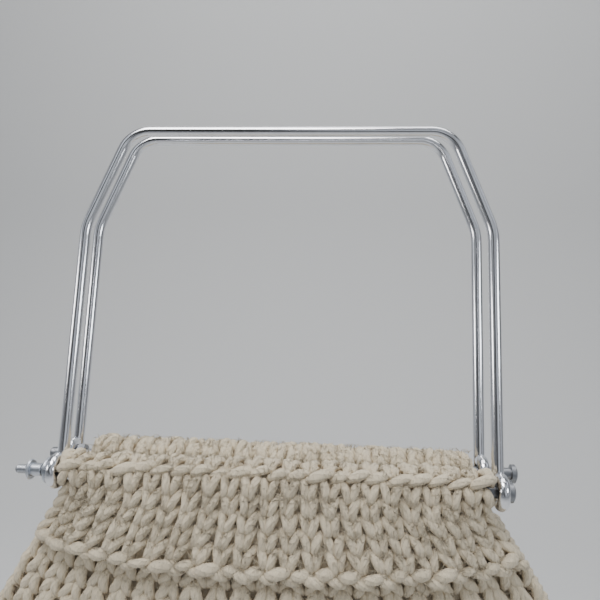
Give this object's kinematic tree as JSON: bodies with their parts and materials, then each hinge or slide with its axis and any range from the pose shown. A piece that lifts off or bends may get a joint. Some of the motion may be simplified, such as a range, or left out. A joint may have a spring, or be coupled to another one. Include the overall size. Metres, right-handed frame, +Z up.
{
  "type": "knitted bag",
  "caption": "Small knitted handbag in chunky cream cotton, its folded hems threaded on steel rods, with two bright wire bow handles.",
  "frame": {"origin": "the hanging point: midway between the two top bars, level with their undersides, where a hook holds the bag", "axes": "+Z up, +X to the right as seen from the front, along the rods and the top bars, +Y from the front to the back"},
  "size_m": [0.2746, 0.0845, 0.3552],
  "materials": {
    "cotton_knit": "chunky cream cotton knit, matt and slightly fuzzy",
    "seam_cotton": "cream cotton sewing yarn, matt",
    "bright_wire": "bright drawn wire with fine lengthways streaks",
    "dark_zinc": "dull zinc plate, darkened",
    "bright_zinc": "bright bluish zinc plate"
  },
  "bodies": {
    "bag": {"front_panel": "cotton_knit", "back_panel": "cotton_knit", "seam_yarn": "seam_cotton", "front_rod": "dark_zinc", "back_rod": "dark_zinc", "front_washer": "bright_zinc", "front_end_nut": "bright_zinc", "back_inner_nut": "dark_zinc", "back_outer_nut": "bright_zinc"},
    "front_bow": {"front_handle": "bright_wire"},
    "back_bow": {"back_handle": "bright_wire"}
  },
  "joints": [
    {"name": "front_bow_swing", "type": "hinge", "parent": "bag", "child": "front_bow", "pos_m": [0, -0.05128, -0.14307], "axis": [1, 0, 0], "range_deg": [-2.8, 183]},
    {"name": "back_bow_swing", "type": "hinge", "parent": "bag", "child": "back_bow", "pos_m": [0, -0.03028, -0.14307], "axis": [1, 0, 0], "range_deg": [-118, 2.8]}
  ]
}
